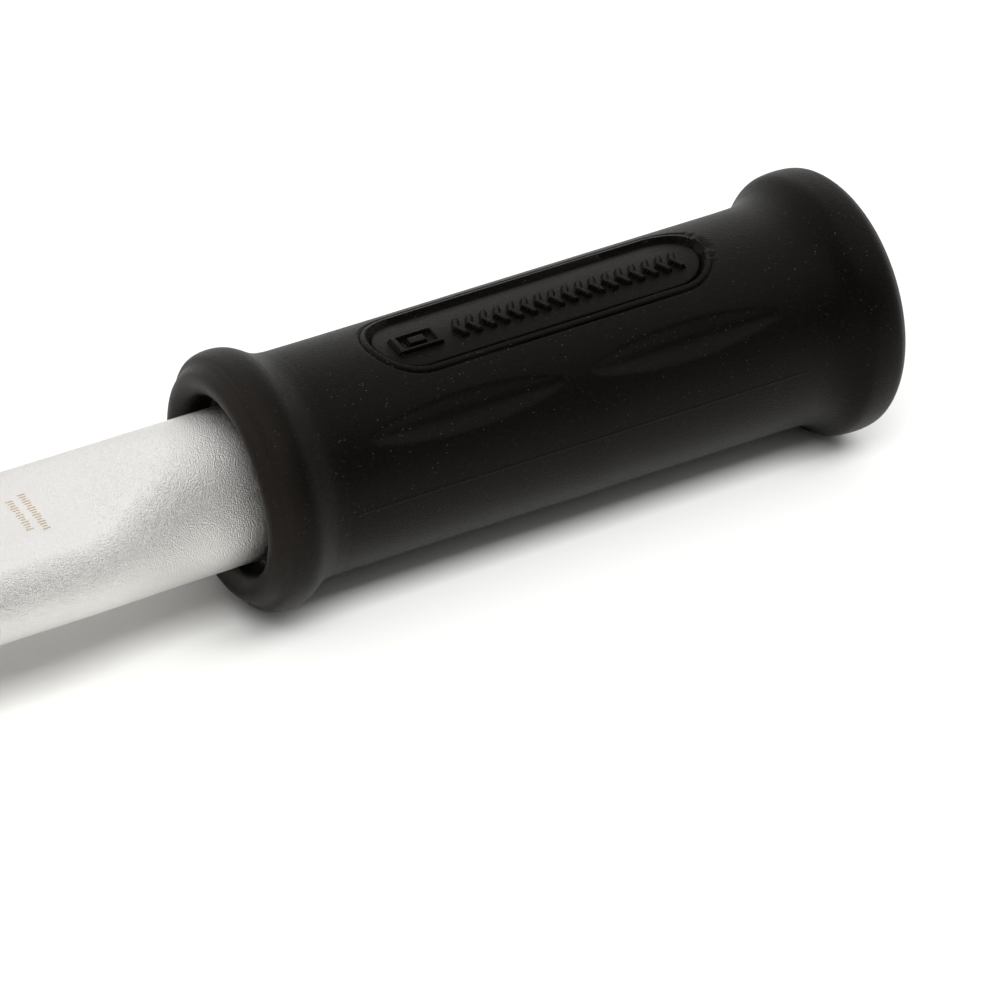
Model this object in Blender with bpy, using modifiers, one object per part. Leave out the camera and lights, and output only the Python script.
"""Click-type torque wrench, 3/8 inch drive, with a flattened tube, a scale window and a turning grip.

The tool lies along X: the drive square's axis is at x = 0, the grip's rear end is at x = 352 mm.
Driving dimensions and all helper arguments are in millimetres; meshes are made in metres, +Z up.
Heights named z are measured from the tool's long axis, which lies AXIS_HEIGHT above the ground,
so the end of the drive square and the grip's rear collar both touch z = 0.
"""
import math

import bmesh
import bpy
from mathutils import Matrix, Vector

MM = 0.001
GAP = 0.3            # clearance between neighbouring solids
SEGMENTS = 24        # facets of a large turned piece
SKIN_SEGMENTS = 36   # facets round the tube and the grip
FINE_SEGMENTS = 16   # facets of a small turned piece
WELD_DISTANCE = 0.000004   # metres

# Tube
TUBE_RADIUS = 12.5
TUBE_WALL = 1.5
TUBE_FRONT = 40.0
TUBE_REAR = 322.0
FLAT_HALF_HEIGHT = 7.1
FLAT_RISE = (150.0, 166.0)
FLAT_FALL = (208.0, 228.0)
RAMP_STEPS = 5
TUBE_BORE = TUBE_RADIUS - TUBE_WALL

# Scale window in the flattened flank
WINDOW = (176.0, 192.7)
WINDOW_HALF_HEIGHT = 3.65
BEZEL_WIDTH = 0.6

# Grip: x of its reference plane, collar radii and ends
GRIP_X = 240.0
GRIP_FRONT = GRIP_X - 3.8
GRIP_BODY_RADIUS = 18.4
GRIP_REAR_BODY_RADIUS = 18.9
FRONT_COLLAR_RADIUS = 21.25
REAR_COLLAR_RADIUS = 22.75
SKIN_HALF_FACET = math.pi / SKIN_SEGMENTS
REAR_COLLAR_CORNER = REAR_COLLAR_RADIUS / math.cos(SKIN_HALF_FACET)   # its facets touch the full radius
GRIP_REAR = GRIP_X + 112.0
GRIP_OPENING = 14.1
GRIP_REAR_OPENING = 17.2
RIM_ROUND = 3.5
AXIS_HEIGHT = REAR_COLLAR_RADIUS
PANEL = (GRIP_X + 21.8, GRIP_X + 84.6)
PANEL_HALF_WIDTH = 8.3
PANEL_DEPTH = 0.8
PANEL_STEP = 1.25
FLUTES = ((GRIP_X + 15.6, GRIP_X + 50.0), (GRIP_X + 55.0, GRIP_X + 90.0))
FLUTE_ANGLE = math.radians(50.0)
FLUTE_DEPTH = 0.9
FLUTE_RADIUS = 2.2
FLUTE_STEPS = 10

# Handle core and what turns with it
CORE_RADIUS = 15.9
CORE_BORE = 14.2
CORE = (242.0, 343.0)
HUB = (329.0, 338.5)
HUB_RADIUS = 13.9
HUB_BORE = 4.0
CROSS_PIN_X = 334.0
CROSS_PIN_RADIUS = 1.25
CROSS_PIN_REACH = 15.5
GUIDE_BUSHES = (("front_guide_bush", 244.5, 252.5), ("rear_guide_bush", 288.0, 296.0))
SEAL_X = 243.2
SEAL_WIRE = 0.55
CAP_RADIUS = 16.9
CAP_REAR = 349.5
CAP_HOLE_RADIUS = 7.9
CAP_STEP = 342.2
CAP_STEP_RADIUS = 9.6
CAP_SCREW_OFFSET = 11.8
CAP_SCREW_RADIUS = 1.2
CAP_SCREW_HEAD = 2.2
CAP_SCREW = (333.0, 347.7, 348.9)   # tip, underside and top of the head
KNOB_RADIUS = 7.6
KNOB_FLANGE = 9.2
KNOB_FLANGE_END = 341.9
KNOB_END = 351.0
KNOB_GRIP_HALF_WIDTH = 1.6
LOCK_PIN_START = 326.9
LOCK_PIN_OFFSET = 5.2
LOCK_PIN_RADIUS = 1.5

# Adjusting screw, carriage and spring
SCREW_RADIUS = 4.0
SCREW_PITCH = 1.25
SCREW_TIP = 178.0
THREAD_END = 213.0
SHANK_RADIUS = 3.2
THRUST_COLLAR = (298.0, 301.0)
THRUST_COLLAR_RADIUS = 7.0
JOURNAL_SCREW_RADIUS = 3.7
THRUST_BEARING = (("thrust_washer_front", 301.3, 302.3, "polished_steel"),
                  ("thrust_ball_cage", 302.6, 304.6, "brass"),
                  ("thrust_washer_rear", 304.9, 305.9, "polished_steel"))
THRUST_BEARING_RADII = (7.5, 4.1)
BUSH = (306.2, 326.0)
BUSH_RADIUS = 10.6
BUSH_FLANGE = 12.4
BUSH_BORE = 4.0
CIRCLIP = (326.9, 327.7)
CIRCLIP_RADII = (5.6, 3.3)
CARRIAGE = (192.0, 208.0)
CARRIAGE_TRAVEL = 12.5
SPRING = (116.3, 148.3)
SPRING_RADIUS = 8.0
SPRING_WIRE = 1.3
SPRING_TURNS = 5.0
SEAT_THICKNESS = 3.0
SEAT_RADIUS = 9.8
SEAT_PILOT = 5.5
PUSH_TUBE_RADIUS = 5.3
PUSH_TUBE_BORE = 4.4
CARRIAGE_HALF_HEIGHT = 5.2
CARRIAGE_SHIFT = 8.1
SCALE_HALF_HEIGHT = 3.3
SCALE_Y = (-12.6, -12.0)
SET_SCREW_X = 314.0
SET_SCREW_RADIUS = 2.0
SET_SCREW_REACH = (7.4, 12.3)

# Head: drive gear, pawl, lever, pivot and toggle block
HEAD_RADIUS = 16.5
HEAD_BOTTOM = -10.5
HEAD_TOP = 8.0
HEAD_REAR = 36.0
CHEEK_HALF_WIDTH = 9.5
CHEEK_END_HALF_WIDTH = 7.2
CHEEK_TAPER = 3.0
CAVITY_RADIUS = 12.6
CAVITY_FLOOR = -8.0
GEAR_TEETH = 36
GEAR_TIP = 12.0
GEAR_ROOT = 11.0
GEAR_HEIGHT = (-7.7, 4.5)
JOURNAL_RADIUS = 8.0
SQUARE = 9.525
SHOULDER_Z = -11.0
HUB_TOP_RADIUS = 5.6
BUTTON_RADIUS = 4.0
BUTTON_STEM = 2.0
BUTTON_TRAVEL = 3.0
BUTTON_HEAD = (7.3, 11.9)
BUTTON_TIP = -18.7
RECESS_FLOOR = 1.0
STEM_BORE_END = BUTTON_TIP - BUTTON_TRAVEL - GAP
BALL_RADIUS = 1.4
BALL_CENTRE = (-3.9, -17.5)
NECK_RADIUS = 1.2
COVER = (HEAD_TOP + GAP, HEAD_TOP + GAP + 1.8)
COVER_INSET = 1.2
COVER_SCREW_RADIUS = 1.25
COVER_SCREW_HEAD = 2.3
COVER_SCREW_CONE = 1.2
COVER_SCREW_CIRCLE = 14.6
COVER_SCREW_ANGLES = (95, 180, 265)
REAR_SCREW_PLACES = [(31.5, -6.4), (31.5, 6.4)]
SLOT_HALF_WIDTH = 0.3
PAWL_X = 17.0
PAWL_HEIGHT = (-7.5, 7.0)
PAWL_PIN = (-9.5, 7.6)
PAWL_PIN_RADIUS = 1.6
PAWL_POCKET = (8.0, 18.0)
PAWL_POCKET_HALF_WIDTH = 7.3
PLUNGER_POCKET = (17.0, 25.0)
PLUNGER_POCKET_HALF_WIDTH = 4.6
POCKET_TOP = 12.0
LEVER_X = 27.0
LEVER_SHAFT = 4.0
LEVER_DISC = 6.5
LEVER_THICKNESS = 3.4
LEVER_TIP_X = 36.3
LEVER_TIP_RADIUS = 3.2
LEVER_HOLE = (20.0, 28.6)
LEVER_SPRING = (25.5, 28.3)
PIVOT_X = 51.0
PIVOT_RADIUS = 3.0
NECK_START = 30.0
NECK_TAPER_START = 60.0
NECK_HALF_WIDTH = 8.0
NECK_END_HALF_WIDTH = 5.0
NECK_HALF_HEIGHT = 6.0
TOGGLE_FRONT = 95.0
TOGGLE_REAR = 103.0
TOGGLE_RADIUS = 3.0
TOGGLE_HALF_HEIGHT = 5.0
PLUNGER_STEM = 7.0
PLUNGER_STEM_END = 112.0
PLUNGER_FLANGE = 10.2
GUIDE = (105.6, 111.3)
GUIDE_RADIUS = 10.7
SOCKET_DEPTH = 1.2

COLOURS = {
    "rubber": ((0.035, 0.032, 0.030), 0.75, 0.0),
    "satin_chrome": ((0.72, 0.71, 0.69), 0.32, 1.0),
    "polished_steel": ((0.62, 0.62, 0.62), 0.22, 1.0),
    "dark_steel": ((0.10, 0.10, 0.11), 0.45, 1.0),
    "spring_steel": ((0.35, 0.36, 0.38), 0.35, 1.0),
    "aluminium": ((0.65, 0.66, 0.68), 0.40, 1.0),
    "brass": ((0.72, 0.52, 0.24), 0.35, 1.0),
    "black_plastic": ((0.02, 0.02, 0.02), 0.50, 0.0),
    "nylon": ((0.75, 0.73, 0.66), 0.55, 0.0),
    "scale_white": ((0.80, 0.80, 0.76), 0.50, 0.0),
    "clear_lens": ((0.75, 0.80, 0.80), 0.08, 0.0),
}


# ---------------------------------------------------------------- scene and helpers

def clear_scene():
    for item in list(bpy.data.objects):
        bpy.data.objects.remove(item, do_unlink=True)


def make_collection(name):
    collection = bpy.data.collections.new(name)
    bpy.context.scene.collection.children.link(collection)
    return collection


def make_materials():
    made = {}
    for name, (colour, roughness, metallic) in COLOURS.items():
        material = bpy.data.materials.new(name)
        material.use_nodes = True
        shader = material.node_tree.nodes["Principled BSDF"]
        shader.inputs["Base Color"].default_value = (*colour, 1.0)
        shader.inputs["Roughness"].default_value = roughness
        shader.inputs["Metallic"].default_value = metallic
        material.diffuse_color = (*colour, 1.0)
        made[name] = material
    return made


def link(item, material):
    """Put an object among the parts, or among the cutters when it has no material."""
    if material is None:
        CUTTERS.objects.link(item)
        item.hide_render = True
        item.display_type = "WIRE"
    else:
        PARTS.objects.link(item)
        item.data.materials.append(MATERIALS[material])
    return item


def turned(name, outline, material, along="X", at=(0, 0, 0), segments=SEGMENTS, start_angle=0.0):
    """Turned piece: outline holds (distance, radius), up the outer side and back down the inner side."""
    across = math.cos(start_angle) * MM
    aside = math.sin(start_angle) * MM
    points = [(radius * across, radius * aside, distance * MM) for distance, radius in reversed(outline)]
    closed = min(radius for _, radius in outline) > 0
    edges = [(i, i + 1) for i in range(len(points) - 1)]
    if closed:
        edges.append((len(points) - 1, 0))
    mesh = bpy.data.meshes.new(name)
    mesh.from_pydata(points, edges, [])
    item = bpy.data.objects.new(name, mesh)
    item.location = (at[0] * MM, at[1] * MM, (AXIS_HEIGHT + at[2]) * MM)
    item.rotation_euler = {"X": (0, math.pi / 2, 0), "Y": (-math.pi / 2, 0, 0), "Z": (0, 0, 0)}[along]
    screw = item.modifiers.new("Turn", "SCREW")
    screw.steps = segments
    screw.render_steps = segments
    screw.use_merge_vertices = True
    screw.merge_threshold = 0.00001
    return link(item, material)


def rod(name, start, end, radius, material, along="X", at=(0, 0, 0), chamfer=0.0, segments=SEGMENTS):
    """Solid round bar between two distances along its axis."""
    outline = [(start, 0), (start, radius - chamfer), (start + chamfer, radius),
               (end - chamfer, radius), (end, radius - chamfer), (end, 0)]
    if chamfer == 0:
        outline = [(start, 0), (start, radius), (end, radius), (end, 0)]
    return turned(name, outline, material, along, at, segments)


def ring(name, start, end, outer, inner, material, along="X", at=(0, 0, 0), chamfer=0.0, segments=SEGMENTS):
    """Plain ring or sleeve."""
    outline = [(start, inner), (start, outer - chamfer), (start + chamfer, outer),
               (end - chamfer, outer), (end, outer - chamfer), (end, inner)]
    if chamfer == 0:
        outline = [(start, inner), (start, outer), (end, outer), (end, inner)]
    return turned(name, outline, material, along, at, segments)


def finish_mesh(name, shape, material, at=(0, 0, 0)):
    """Close a bmesh into an object whose vertices were given in millimetres."""
    bmesh.ops.scale(shape, vec=(MM, MM, MM), verts=shape.verts)
    bmesh.ops.recalc_face_normals(shape, faces=shape.faces)
    mesh = bpy.data.meshes.new(name)
    shape.to_mesh(mesh)
    shape.free()
    item = bpy.data.objects.new(name, mesh)
    item.location = (at[0] * MM, at[1] * MM, (AXIS_HEIGHT + at[2]) * MM)
    return link(item, material)


def box(name, low, high, material):
    """Box between two corners."""
    shape = bmesh.new()
    bmesh.ops.create_cube(shape, size=1)
    size = Vector(high) - Vector(low)
    middle = (Vector(high) + Vector(low)) / 2
    bmesh.ops.scale(shape, vec=size, verts=shape.verts)
    return finish_mesh(name, shape, material, middle)


def plate(name, outline, low, high, material):
    """Flat outline of (x, y) points, extruded from height low to height high."""
    curve = bpy.data.curves.new(name, "CURVE")
    curve.dimensions = "2D"
    curve.fill_mode = "BOTH"
    curve.extrude = (high - low) / 2 * MM
    spline = curve.splines.new("POLY")
    spline.points.add(len(outline) - 1)
    for point, (x, y) in zip(spline.points, outline):
        point.co = (x * MM, y * MM, 0, 1)
    spline.use_cyclic_u = True
    drawn = bpy.data.objects.new(name + "_outline", curve)
    CUTTERS.objects.link(drawn)
    depsgraph = bpy.context.evaluated_depsgraph_get()
    mesh = bpy.data.meshes.new_from_object(drawn.evaluated_get(depsgraph))
    bpy.data.objects.remove(drawn, do_unlink=True)
    shape = bmesh.new()
    shape.from_mesh(mesh)
    bmesh.ops.remove_doubles(shape, verts=shape.verts, dist=0.000001)
    bmesh.ops.recalc_face_normals(shape, faces=shape.faces)
    shape.to_mesh(mesh)
    shape.free()
    mesh.name = name
    item = bpy.data.objects.new(name, mesh)
    item.location = (0, 0, (AXIS_HEIGHT + (low + high) / 2) * MM)
    return link(item, material)


def loft(name, sections, material, inner_sections=None):
    """Skin over equal-length sections of (x, y, z); with inner sections it becomes an open pipe."""
    shape = bmesh.new()
    skins = []
    for rows in (sections, inner_sections):
        if rows:
            skins.append([[shape.verts.new(point) for point in row] for row in rows])
    for skin in skins:
        for row, after in zip(skin, skin[1:]):
            join_rings(shape, row, after)
    for end in (0, -1):
        if inner_sections:
            join_rings(shape, skins[0][end], skins[1][end])
        else:
            shape.faces.new(skins[0][end])
    return finish_mesh(name, shape, material)


def join_rings(shape, first, second):
    """Quads between two rings with the same number of vertices."""
    count = len(first)
    for i in range(count):
        after = (i + 1) % count
        shape.faces.new((first[i], first[after], second[after], second[i]))


def coil(name, start, end, radius, wire, turns, material, along="X", at=(0, 0, 0), points_per_turn=14):
    """Open helical spring of round wire."""
    count = int(turns * points_per_turn) + 1
    curve = bpy.data.curves.new(name, "CURVE")
    curve.dimensions = "3D"
    curve.bevel_depth = wire * MM
    curve.bevel_resolution = 2
    curve.use_fill_caps = True
    spline = curve.splines.new("POLY")
    spline.points.add(count - 1)
    length = end - start - 2 * wire
    for i, point in enumerate(spline.points):
        share = i / (count - 1)
        angle = share * turns * math.tau
        height = start + wire + share * length
        point.co = (radius * math.cos(angle) * MM, radius * math.sin(angle) * MM, height * MM, 1)
    item = bpy.data.objects.new(name, curve)
    item.location = (at[0] * MM, at[1] * MM, (AXIS_HEIGHT + at[2]) * MM)
    item.rotation_euler = {"X": (0, math.pi / 2, 0), "Z": (0, 0, 0)}[along]
    return link(item, material)


def combine(item, operation, *tools):
    """Boolean modifier for each tool, and a weld of the tiny gaps that a cut can leave."""
    for tool in tools:
        modifier = item.modifiers.new(operation.title(), "BOOLEAN")
        modifier.operation = operation
        modifier.solver = "EXACT"
        modifier.object = tool
    weld = item.modifiers.new("Weld", "WELD")
    weld.merge_threshold = WELD_DISTANCE
    return item


def cut(item, *tools):
    return combine(item, "DIFFERENCE", *tools)


def unite(item, *tools):
    return combine(item, "UNION", *tools)


def bevel(item, width, segments=2):
    """Round the sharp edges of a mesh."""
    modifier = item.modifiers.new("Bevel", "BEVEL")
    modifier.width = width * MM
    modifier.segments = segments
    modifier.limit_method = "ANGLE"
    modifier.angle_limit = math.radians(40)
    return item


def arc(centre, radius, start, end, count):
    """Points on an arc, angles in degrees."""
    points = []
    for i in range(count + 1):
        angle = math.radians(start + (end - start) * i / count)
        points.append((centre[0] + radius * math.cos(angle), centre[1] + radius * math.sin(angle)))
    return points


def moving_body(name, at, pieces):
    """Empty on a joint's axis that carries the pieces of one moving body."""
    empty = bpy.data.objects.new(name, None)
    empty.location = (at[0] * MM, at[1] * MM, (AXIS_HEIGHT + at[2]) * MM)
    PARTS.objects.link(empty)
    for piece in pieces:
        piece.parent = empty
        piece.matrix_parent_inverse = Matrix.Translation(-empty.location)
    return empty


# ---------------------------------------------------------------- tube, window and pivot

def smooth_ramp(x, start, end):
    share = min(max((x - start) / (end - start), 0), 1)
    return share * share * (3 - 2 * share)


def flat_half_height(x, radius):
    """Half height of the tube's section at x for a surface of the given round radius."""
    flatness = smooth_ramp(x, *FLAT_RISE) * (1 - smooth_ramp(x, *FLAT_FALL))
    return radius - (TUBE_RADIUS - FLAT_HALF_HEIGHT) * flatness


def tube_section(x, radius):
    """Round section squeezed to a flat oval that keeps its girth."""
    half_height = flat_half_height(x, radius)
    shift = math.pi / 2 * (radius - half_height)
    points = []
    for i in range(SKIN_SEGMENTS):
        angle = math.tau * (i + 0.5) / SKIN_SEGMENTS
        side = math.copysign(shift, math.cos(angle))
        points.append((x, side + half_height * math.cos(angle), half_height * math.sin(angle)))
    return points


def tube_stations(start, end):
    """Section positions: close together only where the section changes."""
    stations = [start, end]
    for low, high in (FLAT_RISE, FLAT_FALL):
        ramp = [low + (high - low) * i / RAMP_STEPS for i in range(RAMP_STEPS + 1)]
        stations += [x for x in ramp if start < x < end]
    return sorted(stations)


def tube_shell(name, start, end, outer, inner, material):
    stations = tube_stations(start, end)
    outside = [tube_section(x, outer) for x in stations]
    inside = [tube_section(x, inner) for x in stations]
    return loft(name, outside, material, inside)


def window_box(name, inset, depth, material=None):
    """Box through the near flank, set in from the window opening on every side."""
    low = (WINDOW[0] + inset, -depth, inset - WINDOW_HALF_HEIGHT)
    high = (WINDOW[1] - inset, -10, WINDOW_HALF_HEIGHT - inset)
    return box(name, low, high, material)


def build_tube():
    tube = tube_shell("tube", TUBE_FRONT, TUBE_REAR, TUBE_RADIUS, TUBE_BORE, "satin_chrome")
    pin_hole = rod("pin_hole", -20, 20, PIVOT_RADIUS + GAP, None, "Z", (PIVOT_X, 0, 0), segments=24)
    screw_hole = rod("set_screw_hole", -20, 20, SET_SCREW_RADIUS + GAP, None, "Z", (SET_SCREW_X, 0, 0),
                     segments=16)
    cut(tube, window_box("window_hole", 0, 20), pin_hole, screw_hole)
    rod("pivot_pin", -12.2, 12.2, PIVOT_RADIUS, "polished_steel", "Z", (PIVOT_X, 0, 0), 0.4, 24)


def build_window():
    """Bezel and lens follow the flank's curve, one inside the other."""
    start = WINDOW[0] - 3
    end = WINDOW[1] + 3
    bezel = tube_shell("window_bezel", start, end, TUBE_RADIUS - 0.1, TUBE_BORE, "black_plastic")
    combine(bezel, "INTERSECT", window_box("bezel_outside", GAP, 20))
    cut(bezel, window_box("bezel_inside", GAP + BEZEL_WIDTH, 20))
    lens = tube_shell("window_lens", start, end, TUBE_RADIUS - 0.4, TUBE_BORE + 0.1, "clear_lens")
    combine(lens, "INTERSECT", window_box("lens_outside", 2 * GAP + BEZEL_WIDTH, 20))


# ---------------------------------------------------------------- ratchet head

def head_outline(inset):
    """Round front, straight cheeks running back to the neck; symmetric about y = 0."""
    front = arc((0, 0), HEAD_RADIUS - inset, 38, 322, 30)
    end = HEAD_REAR - inset
    wide = CHEEK_HALF_WIDTH - inset
    narrow = CHEEK_END_HALF_WIDTH - inset
    rear = [(end - CHEEK_TAPER, -wide), (end, -narrow), (end, narrow), (end - CHEEK_TAPER, wide)]
    return front + rear


def screw_places():
    """Three cover screws round the front and two beside the lever."""
    turns = [math.radians(angle) for angle in COVER_SCREW_ANGLES]
    front = [(COVER_SCREW_CIRCLE * math.cos(turn), COVER_SCREW_CIRCLE * math.sin(turn)) for turn in turns]
    return front + REAR_SCREW_PLACES


def build_head():
    head = bevel(plate("ratchet_head", head_outline(0), HEAD_BOTTOM, HEAD_TOP, "satin_chrome"), 0.8)
    socket = arc((TOGGLE_FRONT, 0), TOGGLE_RADIUS + GAP, 228, 132, 10)
    face = TOGGLE_FRONT - (TOGGLE_RADIUS + GAP - SOCKET_DEPTH)
    near = [(NECK_START, -NECK_HALF_WIDTH), (NECK_TAPER_START, -NECK_HALF_WIDTH),
            (face, -NECK_END_HALF_WIDTH)]
    far = [(x, -y) for x, y in reversed(near)]
    tail = plate("head_tail", near + socket + far, -NECK_HALF_HEIGHT, NECK_HALF_HEIGHT, None)
    unite(head, tail)
    cutters = [
        rod("gear_cavity", CAVITY_FLOOR, POCKET_TOP, CAVITY_RADIUS, None, "Z"),
        rod("journal_bore", -14, 0, JOURNAL_RADIUS + GAP, None, "Z"),
        box("pawl_pocket", (PAWL_POCKET[0], -PAWL_POCKET_HALF_WIDTH, CAVITY_FLOOR + 0.1),
            (PAWL_POCKET[1], PAWL_POCKET_HALF_WIDTH, POCKET_TOP + 0.1), None),
        box("plunger_pocket", (PLUNGER_POCKET[0], -PLUNGER_POCKET_HALF_WIDTH, CAVITY_FLOOR + 0.2),
            (PLUNGER_POCKET[1], PLUNGER_POCKET_HALF_WIDTH, POCKET_TOP + 0.2), None),
        rod("lever_bore", CAVITY_FLOOR + 0.3, POCKET_TOP + 0.3, LEVER_SHAFT + GAP, None, "Z",
            (LEVER_X, 0, 0), segments=24),
        rod("pawl_pin_hole", PAWL_PIN[0] - GAP, 0, PAWL_PIN_RADIUS + GAP, None, "Z", (PAWL_X, 0, 0),
            segments=16),
        rod("pivot_hole", -14, 14, PIVOT_RADIUS + GAP, None, "Z", (PIVOT_X, 0, 0), segments=24),
    ]
    for i, (x, y) in enumerate(screw_places()):
        cutters.append(rod(f"head_screw_hole_{i}", 1.5, 12, COVER_SCREW_RADIUS + GAP, None, "Z", (x, y, 0),
                           segments=12))
    return [cut(head, *cutters)]


def build_cover():
    cover = bevel(plate("head_cover", head_outline(COVER_INSET), COVER[0], COVER[1], "satin_chrome"), 0.3, 1)
    cutters = [rod("hub_hole", 0, 20, HUB_TOP_RADIUS + 0.4, None, "Z"),
               rod("lever_hole", 0, 20, LEVER_SHAFT + GAP, None, "Z", (LEVER_X, 0, 0), segments=24)]
    screws = []
    top = COVER[1]
    cone = COVER_SCREW_CONE
    for i, (x, y) in enumerate(screw_places()):
        sink = [(0, 0), (0, COVER_SCREW_RADIUS + GAP), (top - cone - GAP, COVER_SCREW_RADIUS + GAP),
                (top - GAP / 2, COVER_SCREW_HEAD + GAP), (top + 2, COVER_SCREW_HEAD + GAP), (top + 2, 0)]
        cutters.append(turned(f"cover_screw_hole_{i}", sink, None, "Z", (x, y, 0), 12))
        shape = [(2, 0), (2, COVER_SCREW_RADIUS), (top - cone, COVER_SCREW_RADIUS),
                 (top - 0.2, COVER_SCREW_HEAD), (top, COVER_SCREW_HEAD), (top, 0)]
        screws.append(turned(f"cover_screw_{i + 1}", shape, "dark_steel", "Z", (x, y, 0), 12))
    for i, screw in enumerate(screws):
        x, y = screw_places()[i]
        slot = box(f"cover_slot_{i}", (x - 3, y - SLOT_HALF_WIDTH, top - 0.6),
                   (x + 3, y + SLOT_HALF_WIDTH, top + 1), None)
        cut(screw, slot)
    return [cut(cover, *cutters)] + screws


def gear_outline():
    points = []
    for i in range(2 * GEAR_TEETH):
        radius = GEAR_TIP if i % 2 == 0 else GEAR_ROOT
        angle = math.pi * i / GEAR_TEETH
        points.append((radius * math.cos(angle), radius * math.sin(angle)))
    return points


def build_drive():
    gear = plate("drive_gear", gear_outline(), *GEAR_HEIGHT, "polished_steel")
    journal = rod("drive_journal", SHOULDER_Z, -5, JOURNAL_RADIUS, None, "Z")
    top_hub = rod("drive_top_hub", 2, COVER[1], HUB_TOP_RADIUS, None, "Z", segments=32)
    half = SQUARE / 2
    square = bevel(box("drive_square", (-half, -half, -AXIS_HEIGHT), (half, half, -9), None), 0.7, 1)
    unite(gear, journal, top_hub, square)
    x, z = BALL_CENTRE
    cut(gear,
        rod("button_recess", RECESS_FLOOR, 20, BUTTON_RADIUS + 0.4, None, "Z", segments=24),
        rod("stem_bore", STEM_BORE_END, 10, BUTTON_STEM + GAP, None, "Z", segments=16),
        rod("ball_bore", -12, 0, BALL_RADIUS + GAP, None, "X", (0, 0, z), segments=16))
    neck = z + BALL_RADIUS + 0.2
    slope = BUTTON_STEM - NECK_RADIUS
    low, high = BUTTON_HEAD
    button_outline = [
        (BUTTON_TIP, 0), (BUTTON_TIP, BUTTON_STEM), (neck, BUTTON_STEM), (neck + slope, NECK_RADIUS),
        (neck + BUTTON_TRAVEL, NECK_RADIUS), (neck + BUTTON_TRAVEL + slope, BUTTON_STEM),
        (low, BUTTON_STEM), (low, BUTTON_RADIUS), (high - 0.5, BUTTON_RADIUS),
        (high, BUTTON_RADIUS - 0.6), (high, 0)]
    button = turned("release_button", button_outline, "dark_steel", "Z", segments=24)
    spring = coil("button_spring", RECESS_FLOOR + GAP / 2, low - GAP / 2, 3.2, 0.3, 4, "spring_steel", "Z",
                  points_per_turn=9)
    ball = [(BALL_RADIUS * -math.cos(math.pi * i / 8), BALL_RADIUS * math.sin(math.pi * i / 8))
            for i in range(9)]
    ball[0] = (-BALL_RADIUS, 0)
    ball[-1] = (BALL_RADIUS, 0)
    detent = turned("detent_ball", ball, "polished_steel", "Z", (x, 0, z), 16)
    return [gear, spring], [button], [detent]


def build_pawl():
    teeth = []
    pitch = 180 / GEAR_TEETH
    for step in range(-5, 6):
        radius = CAVITY_RADIUS if step % 2 and abs(step) > 1 else CAVITY_RADIUS + 0.9
        angle = math.radians(step * pitch)
        teeth.append((radius * math.cos(angle), radius * math.sin(angle)))
    outline = teeth + [(13.2, 6.6)] + arc((PAWL_X, 0), 4.4, 60, -60, 12) + [(13.2, -6.6)]
    pawl = plate("pawl", outline, *PAWL_HEIGHT, "polished_steel")
    cut(pawl, rod("pawl_hole", -12, 12, PAWL_PIN_RADIUS + GAP, None, "Z", (PAWL_X, 0, 0), segments=16))
    pin = rod("pawl_pin", *PAWL_PIN, PAWL_PIN_RADIUS, "polished_steel", "Z", (PAWL_X, 0, 0), 0.3,
              FINE_SEGMENTS)
    return [pawl], [pin]


def build_lever():
    low = COVER[1] + GAP
    outline = arc((LEVER_X, 0), LEVER_DISC, 35, 325, 26)
    outline += arc((LEVER_TIP_X, 0), LEVER_TIP_RADIUS, -80, 80, 8)
    lever = bevel(plate("reversing_lever", outline, low, low + LEVER_THICKNESS, "polished_steel"), 0.45)
    shaft = rod("lever_shaft", -6, low + 1, LEVER_SHAFT, None, "Z", (LEVER_X, 0, 0), segments=24)
    hole = rod("lever_plunger_hole", *LEVER_HOLE, 1.6, None, "X", segments=12)
    cut(unite(lever, shaft), hole)
    plunger = turned("lever_plunger", [(21.9, 0), (22.1, 0.7), (22.7, 1.3), (25.2, 1.3), (25.2, 0)],
                     "polished_steel", segments=12)
    spring = coil("lever_spring", *LEVER_SPRING, 1.0, 0.2, 3, "spring_steel", points_per_turn=8)
    return [lever, plunger, spring]


def build_toggle():
    """Tilting block between the head's tail and the plunger, and the plunger in its guide."""
    outline = arc((TOGGLE_REAR, 0), TOGGLE_RADIUS, -90, 90, 12) + arc((TOGGLE_FRONT, 0), TOGGLE_RADIUS,
                                                                     90, 270, 12)
    block = plate("toggle_block", outline, -TOGGLE_HALF_HEIGHT, TOGGLE_HALF_HEIGHT, "polished_steel")
    face = TOGGLE_REAR + (TOGGLE_RADIUS + GAP - SOCKET_DEPTH)
    end = SPRING[0] - GAP
    plunger = turned("plunger", [(face, 0), (face, PLUNGER_STEM), (PLUNGER_STEM_END, PLUNGER_STEM),
                                 (PLUNGER_STEM_END, PLUNGER_FLANGE), (end, PLUNGER_FLANGE), (end, 0)],
                     "polished_steel")
    socket = rod("plunger_socket", -12, 12, TOGGLE_RADIUS + GAP, None, "Z", (TOGGLE_REAR, 0, 0),
                 segments=36)
    cut(plunger, socket)
    ring("plunger_guide", *GUIDE, GUIDE_RADIUS, PLUNGER_STEM + GAP, "brass", chamfer=0.4)
    return [block], [plunger]


# ---------------------------------------------------------------- spring, carriage and screw

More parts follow.
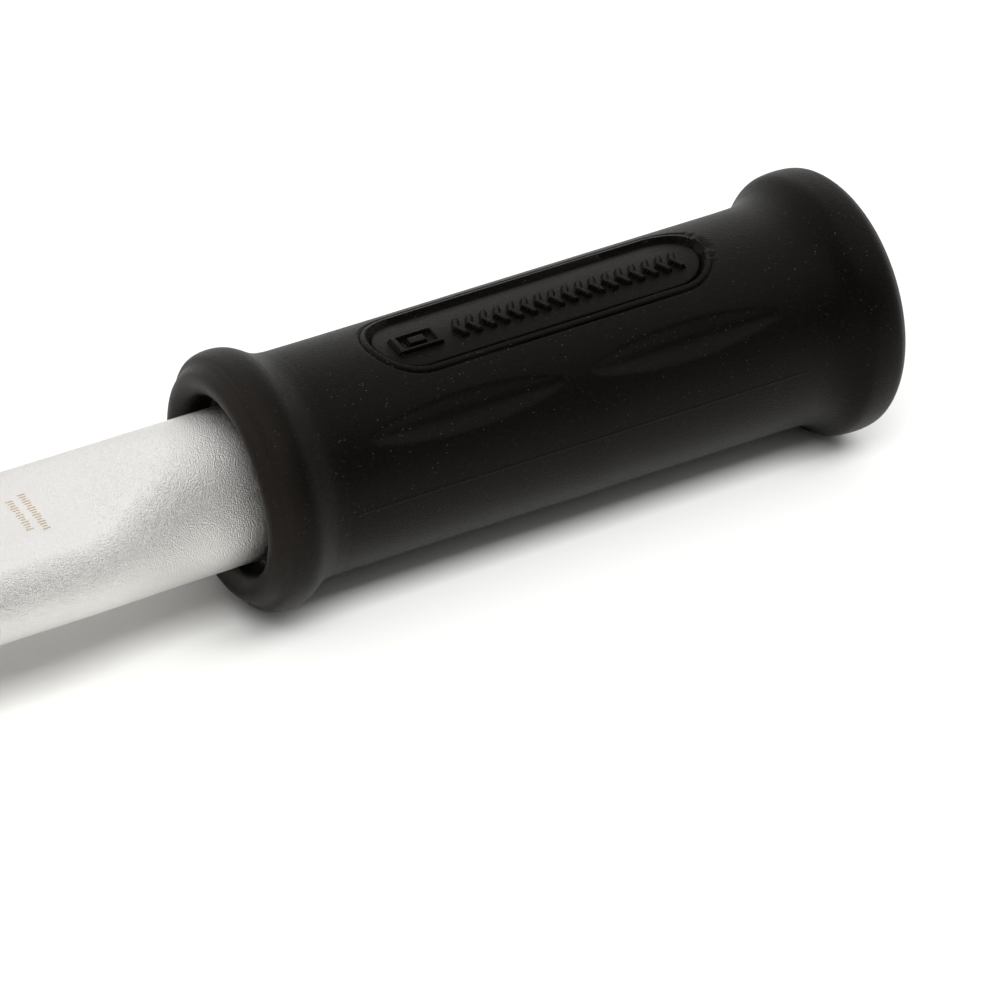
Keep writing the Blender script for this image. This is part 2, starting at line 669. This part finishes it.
def build_carriage():
    """Everything that slides along the tube when the grip is turned."""
    seat_front = SPRING[1] + GAP
    seat_rear = seat_front + SEAT_THICKNESS
    pilot = seat_front - 4
    seat = turned("rear_spring_seat", [(pilot, 0), (pilot, SEAT_PILOT), (seat_front, SEAT_PILOT),
                                       (seat_front, SEAT_RADIUS), (seat_rear, SEAT_RADIUS), (seat_rear, 0)],
                  "dark_steel")
    push = ring("push_tube", seat_rear + GAP, CARRIAGE[0] - GAP, PUSH_TUBE_RADIUS, PUSH_TUBE_BORE,
                "polished_steel", segments=24)
    outline = arc((CARRIAGE_SHIFT, 0), CARRIAGE_HALF_HEIGHT, -90, 90, 10)
    outline += arc((-CARRIAGE_SHIFT, 0), CARRIAGE_HALF_HEIGHT, 90, 270, 10)
    sections = [[(x, y, z) for y, z in outline] for x in CARRIAGE]
    carriage = loft("scale_carriage", sections, "brass")
    thread = rod("carriage_thread", 180, 220, SCREW_RADIUS + GAP, None, segments=24)
    plate_seat = box("scale_seat", (180, -20, -SCALE_HALF_HEIGHT - GAP),
                     (230, SCALE_Y[1] + GAP, SCALE_HALF_HEIGHT + GAP), None)
    cut(carriage, thread, plate_seat)
    scale_end = WINDOW[1] + CARRIAGE_TRAVEL
    scale = box("scale_plate", (WINDOW[0] + 0.5, SCALE_Y[0], -SCALE_HALF_HEIGHT),
                (scale_end, SCALE_Y[1], SCALE_HALF_HEIGHT), "scale_white")
    return [seat, push, carriage, scale]


def build_spring():
    coil("main_spring", SPRING[0], SPRING[1], SPRING_RADIUS, SPRING_WIRE, SPRING_TURNS, "spring_steel",
         points_per_turn=12)


def build_adjusting_screw():
    crest = SCREW_RADIUS
    root = SCREW_RADIUS - 0.6
    outline = [(SCREW_TIP, 0), (SCREW_TIP, root)]
    count = int((THREAD_END - SCREW_TIP) / SCREW_PITCH)
    for i in range(count):
        x = SCREW_TIP + (i + 0.5) * SCREW_PITCH
        outline += [(x, crest), (x + SCREW_PITCH / 2, root)]
    front, rear = THRUST_COLLAR
    end = CROSS_PIN_X + 4
    outline += [(THREAD_END, SHANK_RADIUS), (front, SHANK_RADIUS), (front, THRUST_COLLAR_RADIUS),
                (rear, THRUST_COLLAR_RADIUS), (rear, JOURNAL_SCREW_RADIUS), (end, JOURNAL_SCREW_RADIUS),
                (end, 0)]
    screw = turned("adjusting_screw", outline, "polished_steel", segments=10)
    groove = ring("circlip_groove", CIRCLIP[0] - GAP, CIRCLIP[1] + GAP, 8, CIRCLIP_RADII[1] - GAP, None,
                  segments=24)
    cut(screw, groove, cross_pin_hole("screw_pin_hole"))
    return screw


def build_rear_bearing():
    """Fixed bush in the tube's end with its thrust bearing, set screws and circlip."""
    for name, start, end, material in THRUST_BEARING:
        ring(name, start, end, *THRUST_BEARING_RADII, material, segments=32)
    flange = TUBE_REAR + GAP
    bush = turned("rear_bush", [(BUSH[0], BUSH_BORE), (BUSH[0], BUSH_RADIUS), (flange, BUSH_RADIUS),
                                (flange, BUSH_FLANGE), (BUSH[1], BUSH_FLANGE), (BUSH[1], BUSH_BORE)],
                  "brass")
    hole = rod("bush_screw_hole", -20, 20, SET_SCREW_RADIUS + GAP, None, "Z", (SET_SCREW_X, 0, 0),
               segments=16)
    limit = rod("bush_screw_limit", BUSH[0] - GAP, BUSH[1], THRUST_COLLAR_RADIUS, None, segments=24)
    cut(hole, limit)
    cut(bush, hole)
    for name, side in (("set_screw_top", 1), ("set_screw_bottom", -1)):
        ends = sorted(side * reach for reach in SET_SCREW_REACH)
        screw = rod(name, *ends, SET_SCREW_RADIUS, "dark_steel", "Z", (SET_SCREW_X, 0, 0), 0.3, 16)
        cut(screw, box(name + "_slot", (SET_SCREW_X - 3, -SLOT_HALF_WIDTH, side * 12 - 0.7),
                       (SET_SCREW_X + 3, SLOT_HALF_WIDTH, side * 12 + 0.7), None))


# ---------------------------------------------------------------- handle

def cross_pin_hole(name):
    return rod(name, -30, 30, CROSS_PIN_RADIUS + GAP, None, "Z", (CROSS_PIN_X, 0, 0), segments=12)


def grip_outline():
    """Outside of the rubber grip from its front lip to its rear rim, then back along the bore."""
    front_face = [(GRIP_X - 1.6, GRIP_OPENING), (GRIP_X - 3.1, 15.3), (GRIP_FRONT, 17.6),
                  (GRIP_X - 3.4, 18.9)]
    crown = [(GRIP_X - 2.0, 20.3), (GRIP_X - 0.8, 20.9), (GRIP_X + 1.2, FRONT_COLLAR_RADIUS)]
    neck = [(GRIP_X + 3.2, 21.0), (GRIP_X + 4.5, 20.25), (GRIP_X + 5.5, 19.55), (GRIP_X + 6.6, 18.95),
            (GRIP_X + 8.0, 18.5), (GRIP_X + 10.0, GRIP_BODY_RADIUS)]
    body = [(GRIP_X + 30, GRIP_BODY_RADIUS), (GRIP_X + 60, 18.65), (GRIP_X + 96, GRIP_REAR_BODY_RADIUS)]
    flare = [(GRIP_X + 99.0, 19.1), (GRIP_X + 101.0, 19.9), (GRIP_X + 102.6, 21.1),
             (GRIP_X + 104.0, 22.3), (GRIP_X + 105.4, REAR_COLLAR_CORNER)]
    rim = arc((GRIP_REAR - RIM_ROUND, REAR_COLLAR_CORNER - RIM_ROUND), RIM_ROUND, 90, 0, 6)
    inside = [(GRIP_REAR, GRIP_REAR_OPENING), (CORE[1] + GAP, GRIP_REAR_OPENING),
              (CORE[1] + GAP, CORE_RADIUS + GAP), (CORE[0] - GAP, CORE_RADIUS + GAP),
              (CORE[0] - GAP, GRIP_OPENING)]
    return front_face + crown + neck + body + flare + rim + inside


def stadium(half_width, start, end):
    """Long outline with round ends, in the plane of the panel."""
    rear = arc((end - half_width, 0), half_width, -90, 90, 10)
    front = arc((start + half_width, 0), half_width, 90, 270, 10)
    return rear + front


def panel_cutter(name, inset, depth):
    """Stadium-shaped cutter whose floor follows the grip's round body."""
    outline = stadium(PANEL_HALF_WIDTH - inset, PANEL[0] + inset, PANEL[1] - inset)
    cutter = plate(name, outline, 8, 30, None)
    floor = rod(name + "_floor", PANEL[0] - 10, PANEL[1] + 10, GRIP_BODY_RADIUS + 0.2 - depth, None,
                segments=64)
    return cut(cutter, floor)


def flute_cutter(name, start, end, side):
    """Slim spindle beside the grip that leaves a leaf-shaped shallow hollow."""
    half_length = (end - start) / 2
    outline = [(-half_length - 2, 0)]
    for i in range(FLUTE_STEPS + 1):
        x = (half_length + 2) * (2 * i / FLUTE_STEPS - 1)
        outline.append((x, FLUTE_RADIUS - FLUTE_DEPTH * (x / half_length) ** 2))
    outline.append((half_length + 2, 0))
    distance = GRIP_BODY_RADIUS + FLUTE_RADIUS - FLUTE_DEPTH
    at = ((start + end) / 2, side * distance * math.sin(FLUTE_ANGLE), distance * math.cos(FLUTE_ANGLE))
    return turned(name, outline, None, "X", at, FINE_SEGMENTS)


def build_grip():
    grip = turned("rubber_grip", grip_outline(), "rubber", segments=SKIN_SEGMENTS,
                  start_angle=SKIN_HALF_FACET)
    cutters = [panel_cutter("panel_border", 0, PANEL_DEPTH / 2),
               panel_cutter("panel_field", PANEL_STEP, PANEL_DEPTH)]
    for number, (start, end) in enumerate(FLUTES):
        for side in (-1, 1):
            cutters.append(flute_cutter(f"flute_{number}_{side}", start, end, side))
    return cut(grip, *cutters)


def build_handle():
    """Core, bushes, hub, cross pin, end cap and its screws, all turning with the grip."""
    core = ring("handle_core", CORE[0], CORE[1], CORE_RADIUS, CORE_BORE, "aluminium", chamfer=0.4)
    cut(core, cross_pin_hole("core_pin_hole"))
    bushes = [ring(name, start, end, CORE_BORE - GAP, TUBE_RADIUS + GAP, "nylon")
              for name, start, end in GUIDE_BUSHES]
    seal_middle = (TUBE_RADIUS + CORE_BORE) / 2
    seal = turned("dust_seal", arc((SEAL_X, seal_middle), SEAL_WIRE, 180, -135, 7), "rubber")
    hub = ring("handle_hub", HUB[0], HUB[1], HUB_RADIUS, HUB_BORE, "aluminium", chamfer=0.3)
    pin = rod("cross_pin", -CROSS_PIN_REACH, CROSS_PIN_REACH, CROSS_PIN_RADIUS, "polished_steel", "Z",
              (CROSS_PIN_X, 0, 0), 0.2, 12)
    lock_hole = rod("lock_pin_hole", 320, 345, LOCK_PIN_RADIUS + GAP, None,
                    "X", (0, LOCK_PIN_OFFSET, -LOCK_PIN_OFFSET), segments=12)
    cap = turned("end_cap", [(HUB[1] + GAP, CAP_STEP_RADIUS), (HUB[1] + GAP, HUB_RADIUS),
                             (CORE[1] + GAP, HUB_RADIUS), (CORE[1] + GAP, CAP_RADIUS),
                             (CAP_REAR - 0.5, CAP_RADIUS), (CAP_REAR, CAP_RADIUS - 0.5),
                             (CAP_REAR, CAP_HOLE_RADIUS), (CAP_STEP, CAP_HOLE_RADIUS),
                             (CAP_STEP, CAP_STEP_RADIUS)], "black_plastic")
    hub_cutters = [cross_pin_hole("hub_pin_hole"), lock_hole]
    cap_screws = []
    tip, head, end = CAP_SCREW
    for name, side in (("cap_screw_left", -1), ("cap_screw_right", 1)):
        at = (0, side * CAP_SCREW_OFFSET, 0)
        hole = CAP_SCREW_RADIUS + GAP
        hub_cutters.append(rod(name + "_hub_hole", tip - 0.5, 350, hole, None, "X", at, segments=12))
        sink = [(330, 0), (330, hole), (head - GAP, hole), (head - GAP, CAP_SCREW_HEAD + GAP),
                (360, CAP_SCREW_HEAD + GAP), (360, 0)]
        cut(cap, turned(name + "_cap_hole", sink, None, "X", at, 16))
        screw = turned(name, [(tip, 0), (tip, CAP_SCREW_RADIUS), (head, CAP_SCREW_RADIUS),
                              (head, CAP_SCREW_HEAD), (end, CAP_SCREW_HEAD), (end, 0)],
                       "dark_steel", "X", at, 16)
        cut(screw, box(name + "_slot", (end - 0.6, at[1] - SLOT_HALF_WIDTH, -4),
                       (end + 1, at[1] + SLOT_HALF_WIDTH, 4), None))
        cap_screws.append(screw)
    cut(hub, *hub_cutters)
    clip = ring("screw_circlip", *CIRCLIP, *CIRCLIP_RADII, "spring_steel", segments=24)
    cut(clip, box("circlip_split", (320, -8, -0.7), (330, 0, 0.7), None))
    return [core, seal, hub, pin, cap, clip] + bushes + cap_screws


def build_lock():
    start = HUB[1] + 2 * GAP
    knob = turned("lock_knob", [(start, 0), (start, KNOB_FLANGE), (KNOB_FLANGE_END, KNOB_FLANGE),
                                (KNOB_FLANGE_END, KNOB_RADIUS), (KNOB_END - 0.6, KNOB_RADIUS),
                                (KNOB_END, KNOB_RADIUS - 0.6), (KNOB_END, 0)], "black_plastic")
    cut(knob, box("knob_grip_upper", (KNOB_END - 4, -9, KNOB_GRIP_HALF_WIDTH), (360, 9, 9), None),
        box("knob_grip_lower", (KNOB_END - 4, -9, -9), (360, 9, -KNOB_GRIP_HALF_WIDTH), None))
    pin = rod("lock_pin", LOCK_PIN_START, HUB[1], LOCK_PIN_RADIUS, "polished_steel", "X",
              (0, LOCK_PIN_OFFSET, -LOCK_PIN_OFFSET), 0.2, 12)
    return [knob], [pin]


# ---------------------------------------------------------------- assembly

def build():
    build_tube()
    build_window()
    build_spring()
    build_rear_bearing()
    head_pieces = build_head() + build_cover()
    drive_pieces, button_pieces, ball_pieces = build_drive()
    pawl_pieces, pin_pieces = build_pawl()
    block_pieces, plunger_pieces = build_toggle()
    knob_pieces, lock_pieces = build_lock()
    moving_body("head_axis", (PIVOT_X, 0, 0), head_pieces + pin_pieces)
    moving_body("drive_axis", (0, 0, 0), drive_pieces)
    moving_body("button_axis", (0, 0, 0), button_pieces)
    moving_body("ball_axis", (BALL_CENTRE[0], 0, BALL_CENTRE[1]), ball_pieces)
    moving_body("pawl_axis", (PAWL_X, 0, 0), pawl_pieces)
    moving_body("lever_axis", (LEVER_X, 0, 0), build_lever())
    moving_body("toggle_axis", (TOGGLE_REAR, 0, 0), block_pieces)
    moving_body("plunger_axis", (TOGGLE_REAR, 0, 0), plunger_pieces)
    moving_body("carriage_axis", (CARRIAGE[0], 0, 0), build_carriage())
    moving_body("handle_axis", (GRIP_X, 0, 0), [build_grip(), build_adjusting_screw()] + build_handle())
    moving_body("knob_axis", (GRIP_REAR, 0, 0), knob_pieces)
    moving_body("lock_pin_axis", (HUB[0], LOCK_PIN_OFFSET, -LOCK_PIN_OFFSET), lock_pieces)


clear_scene()
PARTS = make_collection("torque_wrench")
CUTTERS = make_collection("cutters")
MATERIALS = make_materials()
build()
